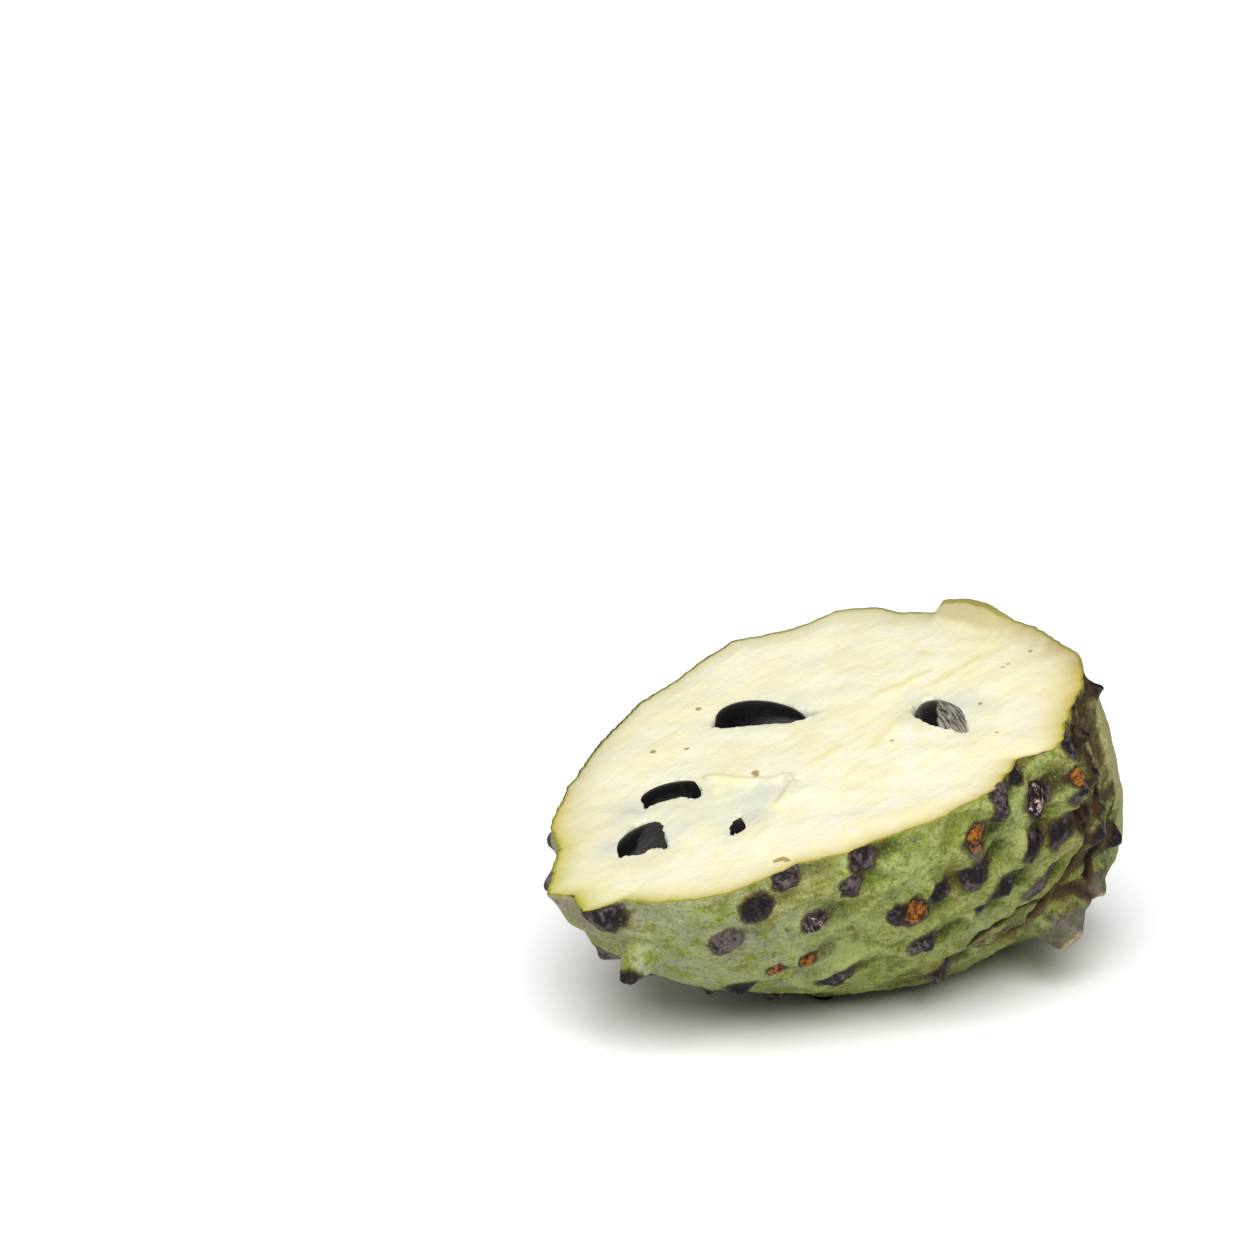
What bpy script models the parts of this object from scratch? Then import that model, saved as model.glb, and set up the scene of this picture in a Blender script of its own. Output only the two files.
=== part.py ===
"""Half of an atemoya, cut lengthwise and lying on its skin with the cut face up.

The fruit's own frame: x runs along its axis towards the stem, z is the normal of the cut
face, and y points to the far rim. A place on the skin is given by two angles: alpha, from
the stem, and psi, round the axis from the near rim (0) by the underside (90) to the far
rim (180). Lengths are metres, angles are degrees.
"""
import bpy
import bmesh
import numpy as np
from mathutils import Matrix

# Driving dimensions of the fruit
STEM_REACH = 0.0575
TIP_REACH = 0.0565
REACH_ANGLES = np.arange(0, 181, 15)
REACHES = np.array((STEM_REACH, 0.0563, 0.0546, 0.0520, 0.0482, 0.0435, 0.0403,
                    0.0386, 0.0388, 0.0413, 0.0460, 0.0515, TIP_REACH))
DEPTH_ANGLES = np.arange(0, 181, 30)
DEPTH_FACTORS = np.array((1.20, 1.42, 1.40, 1.24, 1.16, 1.10, 1.10))
SHOULDER_PUSH = 0.020
SHOULDER_ANGLE = 48
SHOULDER_SPREAD = 27

# How it lies: stem end up, with the underside pressed flat where it rests
TILT = np.radians(16)
CENTRE = (-0.0070, 0.0005, 0.0464)
FLOOR_BLOCK = 0.30

# Tubercles read from the near side: alpha, psi, height
NEAR_TUBERCLES = (
    (172, 26, 0.0026), (163, 66, 0.0046), (150, 31, 0.0028), (143, 11, 0.0030),
    (138, 3, 0.0026), (131, 25, 0.0030), (143, 72, 0.0030), (129, 43, 0.0020),
    (133, 56, 0.0020), (119, 58, 0.0028), (115, 4, 0.0022), (123, 11, 0.0028),
    (104, 27, 0.0024), (98, 21, 0.0022), (97, 42, 0.0032), (108, 66, 0.0026),
    (90, 11, 0.0024), (88, 20, 0.0030), (81, 4, 0.0028), (79, 28, 0.0032),
    (84, 62, 0.0048), (88, 48, 0.0022), (74, 1, 0.0024), (69, 11, 0.0030),
    (70, 21, 0.0030), (64, 19, 0.0028), (70, 34, 0.0032), (58, 8, 0.0026),
    (57, 1, 0.0022), (50, 8, 0.0020), (43, 3, 0.0018), (62, 52, 0.0048),
    (54, 43, 0.0028), (49, 33, 0.0020), (52, 20, 0.0020), (175, 160, 0.0048),
    (72, 48, 0.0026), (156, 50, 0.0024), (118, 40, 0.0018), (167, 174, 0.0026),
)

# The other tubercles, on the underside and the far side, by rule
TUBERCLE_SPACING = 0.0105
RULE_TRIALS = 900
RULE_FROM_PSI = 62
RULE_STEM_ALPHA = 40
RULE_ALPHA_RANGE = (9, 166)
RULE_TO_PSI = 172
RULE_HEIGHTS = (0.0022, 0.0034)
STEM_SHORTENING = 0.7
SEED_OF_RULE = 7

# Shape of one tubercle: a nub on a mound drawn out towards the stem
NUB_RADIUS = 0.0026
NUB_LEAN = 0.5
MOUND_HEIGHT = 0.0011
MOUND_STEMWARD = 0.0060
MOUND_TIPWARD = 0.0030
MOUND_HALF_WIDTH = 0.0034
NUB_RINGS = ((0.0012, 5), (0.0022, 7), (0.0036, 8))

# Creases between the tubercles, deepest round the stem
CREASE_DEPTH = 0.0003
STEM_CREASE_DEPTH = 0.0014
STEM_CREASE_ANGLE = 62
CREASE_WIDTH = 0.0022

# The flap that stands above the cut beside the stem
LOBE_CENTRE = (0.0545, 0.0050)
LOBE_RADII = (0.0080, 0.0070)
LOBE_HEIGHT = 0.0030
LOBE_DEPTH = 0.0090

# Scar in the stem end
SCAR_RADIUS = 0.0055
SCAR_DEPTH = 0.0020

# Mesh: points over the whole sphere of directions, round the rim and on the face
SKIN_POINTS = 3500
FACE_POINTS = 620
RIM_POINTS = 192
RIM_CLEARANCE = 1.3

# Seeds: name, centre on the face, height of the top over the face, length, width,
# thickness, heading of the narrow end, lean about the long axis
SEEDS = (
    ("seed_middle", (0.0070, 0.0185), 0.0015, 0.0190, 0.0098, 0.0068, -65, 12),
    ("seed_near_stem", (0.0226, -0.0140), 0.0014, 0.0170, 0.0092, 0.0066, 66, -10),
    ("seed_tip_upper", (-0.0216, 0.0108), 0.0010, 0.0150, 0.0086, 0.0062, -38, 8),
    ("seed_tip_lower", (-0.0356, 0.0034), 0.0016, 0.0155, 0.0096, 0.0068, 12, 6),
    ("seed_sliver", (-0.0236, -0.0084), -0.00018, 0.0150, 0.0085, 0.0060, 60, 0),
)
SEED_GAP = 0.0003
SEED_TAPER = 0.16
SEED_SEGMENTS = 20
SEED_RINGS = 10

SKIN_COLOUR = (0.34, 0.42, 0.20, 1.0)
SKIN_ROUGHNESS = 0.6
SEED_COLOUR = (0.012, 0.010, 0.009, 1.0)
SEED_ROUGHNESS = 0.25
SHARP_ANGLE = np.radians(50)
GOLDEN_ANGLE = np.pi * (3 - np.sqrt(5))


def smooth_curve(x, knots, values):
    """Cubic curve through the values at evenly spaced knots, level at both ends."""
    step = knots[1] - knots[0]
    count = len(knots)
    system = np.zeros((count, count))
    rates = np.zeros(count)
    system[0, 0] = system[-1, -1] = 1.0
    for row in range(1, count - 1):
        system[row, row - 1:row + 2] = (1.0, 4.0, 1.0)
        rates[row] = 3.0 * (values[row + 1] - values[row - 1])
    slope = np.linalg.solve(system, rates)
    cell = np.clip(((x - knots[0]) / step).astype(int), 0, count - 2)
    t = (x - knots[0]) / step - cell
    start = values[cell] * (1 + 2 * t) * (1 - t) ** 2 + slope[cell] * t * (1 - t) ** 2
    finish = values[cell + 1] * t * t * (3 - 2 * t) + slope[cell + 1] * t * t * (t - 1)
    return start + finish


def plain_skin(alpha, psi):
    """Points of the skin before its tubercles and creases."""
    reach = smooth_curve(alpha, REACH_ANGLES, REACHES)
    depth = smooth_curve(alpha, DEPTH_ANGLES, DEPTH_FACTORS)
    along = np.cos(np.radians(alpha))
    out = np.sin(np.radians(alpha))
    across = np.cos(np.radians(psi))
    down = np.abs(np.sin(np.radians(psi)))
    push = SHOULDER_PUSH * np.exp(-((alpha - SHOULDER_ANGLE) / SHOULDER_SPREAD) ** 2)
    x = reach * along + push * down
    return np.stack((x, -reach * out * across, -reach * out * down * depth), axis=-1)


def angles_of(directions):
    """Alpha and psi of unit directions on or below the plane of the cut."""
    alpha = np.degrees(np.arccos(np.clip(directions[:, 0], -1, 1)))
    below = np.maximum(-directions[:, 2], 0)
    psi = np.degrees(np.arctan2(below, -directions[:, 1]))
    return alpha, psi


def direction_of(alpha, psi):
    """Unit direction at the two angles."""
    along, out = np.cos(np.radians(alpha)), np.sin(np.radians(alpha))
    across, down = np.cos(np.radians(psi)), np.sin(np.radians(psi))
    return np.stack((along, -out * across, -out * down), axis=-1)


def unit(vectors):
    return vectors / np.linalg.norm(vectors, axis=-1, keepdims=True)


def skin_frames(alpha, psi):
    """Place, outward normal, tipward and sideward directions at each pair of angles."""
    step = 0.5
    place = plain_skin(alpha, psi)
    tipward = unit(plain_skin(np.minimum(alpha + step, 180), psi)
                   - plain_skin(np.maximum(alpha - step, 0), psi))
    around = unit(plain_skin(alpha, psi + step) - plain_skin(alpha, psi - step))
    normal = unit(np.cross(around, tipward))
    outward = np.sign(np.sum(normal * place, axis=-1, keepdims=True))
    normal = normal * outward
    return place, normal, tipward, np.cross(normal, tipward)


def tubercle_places():
    """Alpha, psi and height of every tubercle: those listed, then those by rule."""
    draw = np.random.default_rng(SEED_OF_RULE)
    rows = [list(row) for row in NEAR_TUBERCLES]
    for trial in range(RULE_TRIALS):
        level = -(trial + 0.5) / RULE_TRIALS
        turn = trial * GOLDEN_ANGLE
        ring = np.sqrt(1 - level ** 2)
        direction = np.array([[ring * np.cos(turn), ring * np.sin(turn), level]])
        alpha, psi = (float(angle[0]) for angle in angles_of(direction))
        height = draw.uniform(*RULE_HEIGHTS) * (STEM_SHORTENING if alpha < 60 else 1)
        if psi < RULE_FROM_PSI and alpha > RULE_STEM_ALPHA:
            continue
        if not RULE_ALPHA_RANGE[0] < alpha < RULE_ALPHA_RANGE[1] or psi > RULE_TO_PSI:
            continue
        taken = np.array(rows)
        place = plain_skin(np.array([alpha]), np.array([psi]))
        gaps = np.linalg.norm(plain_skin(taken[:, 0], taken[:, 1]) - place, axis=1)
        if gaps.min() > TUBERCLE_SPACING:
            rows.append([alpha, psi, height])
    return np.array(rows)


def relief(points, alpha, tubercles):
    """Shift of each skin point by the tubercles and the creases between them."""
    places, normals, tipwards, sidewards = skin_frames(tubercles[:, 0], tubercles[:, 1])
    shift = np.zeros_like(points)
    gaps = np.linalg.norm(points[:, None, :] - places[None, :, :], axis=2)
    nearest = np.sort(gaps, axis=1)[:, :2]
    outward = unit(points * (0.6, 1.0, 1.0))
    edge = np.exp(-((nearest[:, 1] - nearest[:, 0]) / CREASE_WIDTH) ** 2)
    stem_share = 1 / (1 + np.exp((alpha - STEM_CREASE_ANGLE) / 4.0))
    depth = CREASE_DEPTH + (STEM_CREASE_DEPTH - CREASE_DEPTH) * stem_share
    shift -= outward * (edge * depth)[:, None]
    for index, height in enumerate(tubercles[:, 2]):
        offset = points - places[index]
        tipward = offset @ tipwards[index]
        sideward = offset @ sidewards[index]
        length = np.where(tipward < 0, MOUND_STEMWARD, MOUND_TIPWARD)
        spread = (tipward / length) ** 2 + (sideward / MOUND_HALF_WIDTH) ** 2
        mound = MOUND_HEIGHT * np.exp(-spread)
        nub = 1 - (np.hypot(tipward, sideward) / NUB_RADIUS) ** 2
        nub = np.where(gaps[:, index] < 3 * NUB_RADIUS, np.maximum(nub, 0), 0)
        nub = nub * (height - MOUND_HEIGHT)
        shift += (mound + nub)[:, None] * normals[index]
        shift += (nub * NUB_LEAN)[:, None] * tipwards[index]
    return shift


def lobe_rise(x, y):
    """Height of the flap beside the stem over the plane of the cut."""
    spread = ((x - LOBE_CENTRE[0]) / LOBE_RADII[0]) ** 2
    spread = spread + ((y - LOBE_CENTRE[1]) / LOBE_RADII[1]) ** 2
    return LOBE_HEIGHT * np.exp(-spread ** 2)


def lay_points(tubercles):
    """Unit directions for the mesh: rim, skin lattice, rings of tubercles, face lattice."""
    turns = np.radians(np.arange(RIM_POINTS) * 360 / RIM_POINTS)
    rim = np.stack((np.cos(turns), np.sin(turns), np.zeros(RIM_POINTS)), axis=-1)
    clearance = np.sin(np.radians(RIM_CLEARANCE))

    rings = []
    for alpha, psi, _ in tubercles:
        middle = direction_of(alpha, psi)
        tipward = unit(direction_of(alpha + 0.5, psi) - direction_of(alpha - 0.5, psi))
        sideward = np.cross(middle, tipward)
        reach = np.linalg.norm(plain_skin(np.array([alpha]), np.array([psi])))
        rings.append(middle)
        for radius, count in NUB_RINGS:
            for step in range(count):
                turn = 2 * np.pi * step / count
                way = np.cos(turn) * tipward + np.sin(turn) * sideward
                rings.append(unit(middle + way * radius / reach))
    rings = np.array(rings)
    rings = rings[rings[:, 2] < -clearance]

    def lattice(count):
        index = np.arange(count)
        level = 1 - 2 * (index + 0.5) / count
        turn = index * GOLDEN_ANGLE
        ring = np.sqrt(1 - level ** 2)
        return np.stack((ring * np.cos(turn), ring * np.sin(turn), level), axis=-1)

    skin = lattice(SKIN_POINTS)
    skin = skin[skin[:, 2] < -clearance]
    spread = NUB_RINGS[-1][0] / REACHES.mean()
    middles = np.array([direction_of(alpha, psi) for alpha, psi, _ in tubercles])
    clear = (skin @ middles.T).max(axis=1) < np.cos(1.15 * spread)
    face = lattice(FACE_POINTS)
    face = face[face[:, 2] > 2 * clearance]
    return np.concatenate((rim, rings, skin[clear], face))


def place_points(directions, tubercles):
    """Carry the directions out to the skin below the cut and to the face above it."""
    level = directions[:, 2]
    flat = np.stack((directions[:, 0], directions[:, 1], np.zeros(len(level))), axis=-1)
    on_face = level > 1e-6
    source = np.where(on_face[:, None], unit(flat + (1e-9, 0, 0)), directions)
    alpha, psi = angles_of(source)
    points = plain_skin(alpha, psi)
    points = points + relief(points, alpha, tubercles)
    at_rim = np.abs(level) < 1e-6
    points[:, 2] = np.where(at_rim, 0, np.minimum(points[:, 2], -0.0002))

    inward = 1 - np.degrees(np.arcsin(np.clip(level, 0, 1))) / 90
    points[on_face] = points[on_face] * inward[on_face, None]
    points[on_face, 2] = 0

    scar = np.linalg.norm(points[:, 1:] * (1.0, 0.6), axis=1) / SCAR_RADIUS
    dent = SCAR_DEPTH * np.exp(-scar ** 2) * (points[:, 0] > 0.8 * STEM_REACH)
    points[:, 0] -= dent
    rise = lobe_rise(points[:, 0], points[:, 1])
    points[:, 2] += rise * np.exp(np.minimum(points[:, 2], 0) / LOBE_DEPTH)
    return points


def fruit_frame():
    """Empty that carries every piece: tilted, its origin over the resting spot."""
    bpy.ops.object.empty_add(location=CENTRE, rotation=(0, -TILT, 0))
    frame = bpy.context.active_object
    frame.name = "fruit_frame"
    return frame


def new_object(name, points, faces, frame, material=None):
    """Object with the given mesh, carried by the fruit's frame."""
    mesh = bpy.data.meshes.new(name)
    mesh.from_pydata([tuple(point) for point in points], [], faces)
    mesh.shade_smooth()
    body = bpy.data.objects.new(name, mesh)
    body.parent = frame
    bpy.context.collection.objects.link(body)
    if material:
        mesh.materials.append(material)
    return body


def new_material(name, colour, roughness):
    material = bpy.data.materials.new(name)
    material.use_nodes = True
    shader = material.node_tree.nodes["Principled BSDF"]
    shader.inputs["Base Color"].default_value = colour
    shader.inputs["Roughness"].default_value = roughness
    shader.inputs["Metallic"].default_value = 0.0
    return material


def fruit_body(frame, material):
    """Skin and flesh as one closed surface, wrapped over a sphere of directions."""
    tubercles = tubercle_places()
    directions = lay_points(tubercles)
    hull = bmesh.new()
    for direction in directions:
        hull.verts.new(direction)
    bmesh.ops.convex_hull(hull, input=hull.verts)
    hull.verts.index_update()
    faces = [[vertex.index for vertex in face.verts] for face in hull.faces]
    hull.free()
    points = place_points(directions, tubercles)
    body = new_object("fruit_half", points, faces, frame, material)
    shape = bmesh.new()
    shape.from_mesh(body.data)
    bmesh.ops.recalc_face_normals(shape, faces=shape.faces)
    shape.to_mesh(body.data)
    shape.free()
    return body


def seed_mesh(row, gap):
    """Points and faces of one flattened seed, narrow at one end, grown by the gap."""
    _, (x, y), top, length, width, thickness, heading, lean = row
    half = np.array((length, width, thickness)) / 2 + gap
    rows = [np.array((-half[0], 0.0, 0.0))]
    for ring in range(1, SEED_RINGS):
        lie = np.pi * ring / SEED_RINGS
        along = -np.cos(lie)
        breadth = np.sin(lie) * (1 - SEED_TAPER * along)
        for segment in range(SEED_SEGMENTS):
            turn = 2 * np.pi * segment / SEED_SEGMENTS
            across, up = breadth * np.cos(turn), breadth * np.sin(turn)
            rows.append(np.array((along, across, up)) * half)
    rows.append(np.array((half[0], 0.0, 0.0)))
    points = np.array(rows)

    faces = []
    last = len(points) - 1
    for segment in range(SEED_SEGMENTS):
        after = (segment + 1) % SEED_SEGMENTS
        faces.append((0, 1 + after, 1 + segment))
        for ring in range(SEED_RINGS - 2):
            low = 1 + ring * SEED_SEGMENTS
            high = low + SEED_SEGMENTS
            faces.append((low + segment, low + after, high + after, high + segment))
        end = last - SEED_SEGMENTS
        faces.append((end + segment, end + after, last))

    turn = Matrix.Rotation(np.radians(heading), 3, "Z")
    turn = turn @ Matrix.Rotation(np.radians(lean), 3, "X")
    points = points @ np.array(turn).T
    bare_top = points[:, 2].max() - gap
    return points + (x, y, top - bare_top), faces


def subtract(body, cutter):
    """Cut one closed mesh from another, then drop the cutter."""
    modifier = body.modifiers.new("cut", "BOOLEAN")
    modifier.operation = "DIFFERENCE"
    modifier.solver = "EXACT"
    modifier.object = cutter
    bpy.context.view_layer.update()
    graph = bpy.context.evaluated_depsgraph_get()
    cut = bpy.data.meshes.new_from_object(body.evaluated_get(graph))
    body.modifiers.clear()
    body.data = cut
    bpy.data.objects.remove(cutter, do_unlink=True)


def floor_block():
    """Block under the floor, which trims the resting spot flat."""
    bpy.ops.mesh.primitive_cube_add(size=FLOOR_BLOCK, location=(0, 0, -FLOOR_BLOCK / 2))
    return bpy.context.active_object


for item in list(bpy.data.objects):
    bpy.data.objects.remove(item, do_unlink=True)

frame = fruit_frame()
fruit = fruit_body(frame, new_material("skin_and_flesh", SKIN_COLOUR, SKIN_ROUGHNESS))
seed_coat = new_material("seed_coat", SEED_COLOUR, SEED_ROUGHNESS)
for row in SEEDS:
    points, faces = seed_mesh(row, SEED_GAP)
    subtract(fruit, new_object("pocket_" + row[0], points, faces, frame))
    points, faces = seed_mesh(row, 0.0)
    new_object(row[0], points, faces, frame, seed_coat)
subtract(fruit, floor_block())
fruit.data.set_sharp_from_angle(angle=SHARP_ANGLE)
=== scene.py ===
"""Looks of an atemoya half that lies on its skin with the cut face up."""

import bpy
import numpy as np
from mathutils import Matrix, Vector, noise


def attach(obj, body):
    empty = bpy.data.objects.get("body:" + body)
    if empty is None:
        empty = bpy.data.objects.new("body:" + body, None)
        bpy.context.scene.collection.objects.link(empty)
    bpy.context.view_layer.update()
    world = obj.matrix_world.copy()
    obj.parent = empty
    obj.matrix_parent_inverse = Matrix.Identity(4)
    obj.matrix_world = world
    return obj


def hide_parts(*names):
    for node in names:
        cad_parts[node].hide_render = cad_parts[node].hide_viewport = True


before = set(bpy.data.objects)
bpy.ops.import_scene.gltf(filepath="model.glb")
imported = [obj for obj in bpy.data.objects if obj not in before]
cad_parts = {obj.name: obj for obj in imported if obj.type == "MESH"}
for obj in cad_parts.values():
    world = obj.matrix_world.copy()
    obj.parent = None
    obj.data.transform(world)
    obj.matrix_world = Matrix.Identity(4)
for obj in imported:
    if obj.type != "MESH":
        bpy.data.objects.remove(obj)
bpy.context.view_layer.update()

# Skin of the fruit half.
# It grew as one sheet of joined scales, each a low mound that ends in a dark woody nub on
# the side of the fruit's tip. The knife left its edge as a thin green line.
mm = 0.001
TILT = np.radians(16)
CENTRE = (-0.0070, 0.0005, 0.0464)
PLACEMENT = Matrix.Translation(CENTRE) @ Matrix.Rotation(-TILT, 4, "Y")
REACH_ANGLES = np.arange(0, 181, 15)
REACHES = np.array((57.5, 56.3, 54.6, 52.0, 48.2, 43.5, 40.3, 38.6, 38.8, 41.3, 46.0,
                    51.5, 56.5)) * mm
DEPTH_ANGLES = np.arange(0, 181, 30)
DEPTH_FACTORS = np.array((1.20, 1.42, 1.40, 1.24, 1.16, 1.10, 1.10))
SHOULDER_PUSH = 20 * mm
SHOULDER_ANGLE = 48
SHOULDER_SPREAD = 27
SPHERE_SUBDIVISIONS = 8
GOLDEN_ANGLE = np.pi * (3 - np.sqrt(5))

# Tubercles of the near side: alpha from the stem, psi round from the near rim, height and
# radius in mm, and whether the nub is dark, pale, rusty where it broke, crusted, a spine
# with a dark nub, or a thorn with a pale tip
DARK, PALE, RUSTY, CRUSTED, SPINE, THORN = range(6)
NEAR_TUBERCLES = (
    (172.6, 19, 2.4, 3.2, DARK), (164, 55, 6.8, 3.2, SPINE), (151, 26, 2.6, 2.4, PALE),
    (142, 60, 2.6, 2.8, DARK), (145, 9.5, 2.8, 2.6, DARK), (137.5, 2.5, 2.4, 2.2, PALE),
    (123, 9, 2.4, 1.9, PALE), (119, 3, 1.6, 2.4, PALE), (132, 20, 2.8, 2.1, CRUSTED),
    (105, 23, 2.2, 2.3, RUSTY), (99, 19, 2.4, 1.8, DARK), (110, 22, 1.8, 1.7, DARK),
    (100, 35, 2.7, 2.7, DARK), (91, 51, 3.8, 2.3, PALE), (132, 37, 1.5, 1.4, RUSTY),
    (138, 44, 1.4, 1.7, RUSTY), (121, 49, 2.3, 2.8, DARK), (89, 16, 2.8, 2.8, DARK),
    (89, 8, 2.2, 2.4, RUSTY), (80.6, 4, 2.6, 2.3, DARK), (69.5, 7.5, 2.8, 2.7, CRUSTED),
    (74, 16, 2.8, 2.6, DARK), (67, 17, 2.8, 2.4, DARK), (82, 23, 2.8, 2.8, DARK),
    (73, 28, 1.4, 2.6, PALE), (87, 27, 1.5, 1.2, DARK), (80, 1.0, 2.4, 1.9, PALE),
    (72, 1.5, 2.2, 1.8, DARK), (57.5, 1.5, 2.8, 2.2, PALE), (60.4, 6.4, 2.6, 1.9, RUSTY),
    (61, 10, 3.0, 2.3, DARK), (34, 4, 2.8, 1.9, DARK), (43, 3.5, 2.4, 1.7, RUSTY),
    (50, 5, 3.2, 2.3, DARK), (51, 10, 2.4, 1.7, PALE), (52, 13.5, 2.8, 1.7, DARK),
    (55, 19.5, 2.6, 1.9, DARK), (61.2, 18, 2.4, 2.0, DARK), (58, 24, 2.6, 2.1, DARK),
    (54, 30, 3.0, 2.0, DARK), (66, 45, 6.8, 4.4, THORN), (60, 38, 4.6, 2.8, THORN),
    (168, 170, 3.0, 2.6, PALE),
)
LOOK_MASKS = {PALE: "pale", RUSTY: "rust", CRUSTED: "crust"}

# Tubercles of the underside and the far side, placed by rule
SEED_OF_RULE = 7
RULE_TRIALS = 900
RULE_ALPHA_RANGE = (37, 166)
RULE_PSI_RANGE = (80, 172)
RULE_HEIGHTS = (2.0, 3.0)
RULE_RADII = (1.8, 2.7)
TUBERCLE_SPACING = 10.5 * mm

# Turn of the scales in degrees; stretch of nubs and share of hollows by alpha
SEED_OF_TWISTS = 4
TWISTS = (-10, 30)
NUB_STRETCH = ((70, 100), (1.35, 1.05))
HOLLOW_SHARE = ((100, 150), (1.0, 0.4))

# Parts of a scale in mm: for a hump its middle, tipward of the nub, its length and width
BASE_HUMP = (0.0, 3.8, 3.4)
STAIN_HUMP = (-0.6, 2.6, 2.6)
HOLLOW_GAP = 1.7
HOLLOW_SIZE = (3.2, 2.6)
BLOOM_GAP = 1.0
BLOOM_WIDTH = 1.1
BLOOM_FACING = (-0.4, 0.7)
HALO_REACH = 2.4
SCALE_REACH = 14 * mm

# Rise of those parts in mm, and the form of the knob on a plain nub and on a spine
BASE_RISE = 0.6
BLOOM_RISE = 0.5
HOLLOW_DROP = 1.5
KNOB_SINK = 0.4
KNOB_WIDTH = 0.85
KNOB_LEAN = 0.15
NUB_EDGE = 1.55
NUB_FADE = 0.8
SPINE_BASE = 0.8
SPINE_FOOT = 1.3
SPINE_DARK = (0.60, 0.85)
SPINE_LEAN = 0.30

# Blender's vector noise starts from the clock unless it is given a seed
SEED_OF_DRIFT = 3
SEED_STEPS = (7.31, 3.17, 5.73)
noise.seed_set(SEED_OF_DRIFT)


def smooth_curve(x, knots, values):
    """Cubic curve through the values at evenly spaced knots, level at both ends."""
    step = knots[1] - knots[0]
    count = len(knots)
    system = np.zeros((count, count))
    rates = np.zeros(count)
    system[0, 0] = system[-1, -1] = 1.0
    for row in range(1, count - 1):
        system[row, row - 1:row + 2] = (1.0, 4.0, 1.0)
        rates[row] = 3.0 * (values[row + 1] - values[row - 1])
    slope = np.linalg.solve(system, rates)
    cell = np.clip(((x - knots[0]) / step).astype(int), 0, count - 2)
    t = (x - knots[0]) / step - cell
    start = values[cell] * (1 + 2 * t) * (1 - t) ** 2 + slope[cell] * t * (1 - t) ** 2
    finish = values[cell + 1] * t * t * (3 - 2 * t) + slope[cell + 1] * t * t * (t - 1)
    return start + finish


def plain_skin(alpha, psi):
    """Points of the skin before its tubercles and ridges."""
    reach = smooth_curve(alpha, REACH_ANGLES, REACHES)
    depth = smooth_curve(alpha, DEPTH_ANGLES, DEPTH_FACTORS)
    along = np.cos(np.radians(alpha))
    out = np.sin(np.radians(alpha))
    across = np.cos(np.radians(psi))
    down = np.abs(np.sin(np.radians(psi)))
    push = SHOULDER_PUSH * np.exp(-((alpha - SHOULDER_ANGLE) / SHOULDER_SPREAD) ** 2)
    x = reach * along + push * down
    return np.stack((x, -reach * out * across, -reach * out * down * depth), axis=-1)


def angles_of(directions):
    """Alpha and psi of unit directions on or below the plane of the cut."""
    alpha = np.degrees(np.arccos(np.clip(directions[:, 0], -1, 1)))
    below = np.maximum(-directions[:, 2], 0)
    return alpha, np.degrees(np.arctan2(below, -directions[:, 1]))


def unit(vectors):
    return vectors / np.maximum(np.linalg.norm(vectors, axis=-1, keepdims=True), 1e-12)


def skin_frames(alpha, psi):
    """Place, outward normal, tipward and sideward directions at each pair of angles."""
    step = 0.5
    place = plain_skin(alpha, psi)
    tipward = unit(plain_skin(np.minimum(alpha + step, 180), psi)
                   - plain_skin(np.maximum(alpha - step, 0), psi))
    around = unit(plain_skin(alpha, psi + step) - plain_skin(alpha, psi - step))
    normal = unit(np.cross(around, tipward))
    normal = normal * np.sign(np.sum(normal * place, axis=-1, keepdims=True))
    return place, normal, tipward, np.cross(normal, tipward)


def tubercle_rows():
    """Every tubercle: those listed, then those of the underside and far side by rule."""
    draw = np.random.default_rng(SEED_OF_RULE)
    rows = [list(row) for row in NEAR_TUBERCLES]
    for trial in range(RULE_TRIALS):
        level = -(trial + 0.5) / RULE_TRIALS
        turn = trial * GOLDEN_ANGLE
        ring = np.sqrt(1 - level ** 2)
        direction = np.array([[ring * np.cos(turn), ring * np.sin(turn), level]])
        alpha, psi = (float(angle[0]) for angle in angles_of(direction))
        height, radius = draw.uniform(*RULE_HEIGHTS), draw.uniform(*RULE_RADII)
        look = draw.choice((DARK, DARK, PALE, RUSTY))
        if not RULE_ALPHA_RANGE[0] < alpha < RULE_ALPHA_RANGE[1]:
            continue
        if not RULE_PSI_RANGE[0] < psi < RULE_PSI_RANGE[1]:
            continue
        taken = np.array(rows)
        place = plain_skin(np.array([alpha]), np.array([psi]))
        gaps = np.linalg.norm(plain_skin(taken[:, 0], taken[:, 1]) - place, axis=1)
        if gaps.min() > TUBERCLE_SPACING:
            rows.append([alpha, psi, height, radius, look])
    return np.array(rows)


def noise_spots(points, size, seed):
    """Where in the noise each point lies, for features of the given size."""
    shift = Vector([seed * step for step in SEED_STEPS])
    return (Vector(point) / size + shift for point in points)


def grain(points, size, octaves, seed):
    """Fractal noise from about -1 to 1 at each point, for bumps of the given size."""
    spots = noise_spots(points, size, seed)
    return np.array([noise.fractal(spot, 1.0, 2.0, octaves) for spot in spots])


def waves(*layers):
    """Sum of layers of grain: the points, then size, octaves, seed and height in mm."""
    total = 0
    for points, (size, octaves, seed, height) in layers:
        total = total + grain(points, size, octaves, seed) * height * mm
    return total


def drift(points, size, amount, seed):
    """Small smooth shift of each point in all three directions, to make lines waver."""
    spots = noise_spots(points, size, seed)
    return np.array([noise.noise_vector(spot) for spot in spots]) * amount


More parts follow.
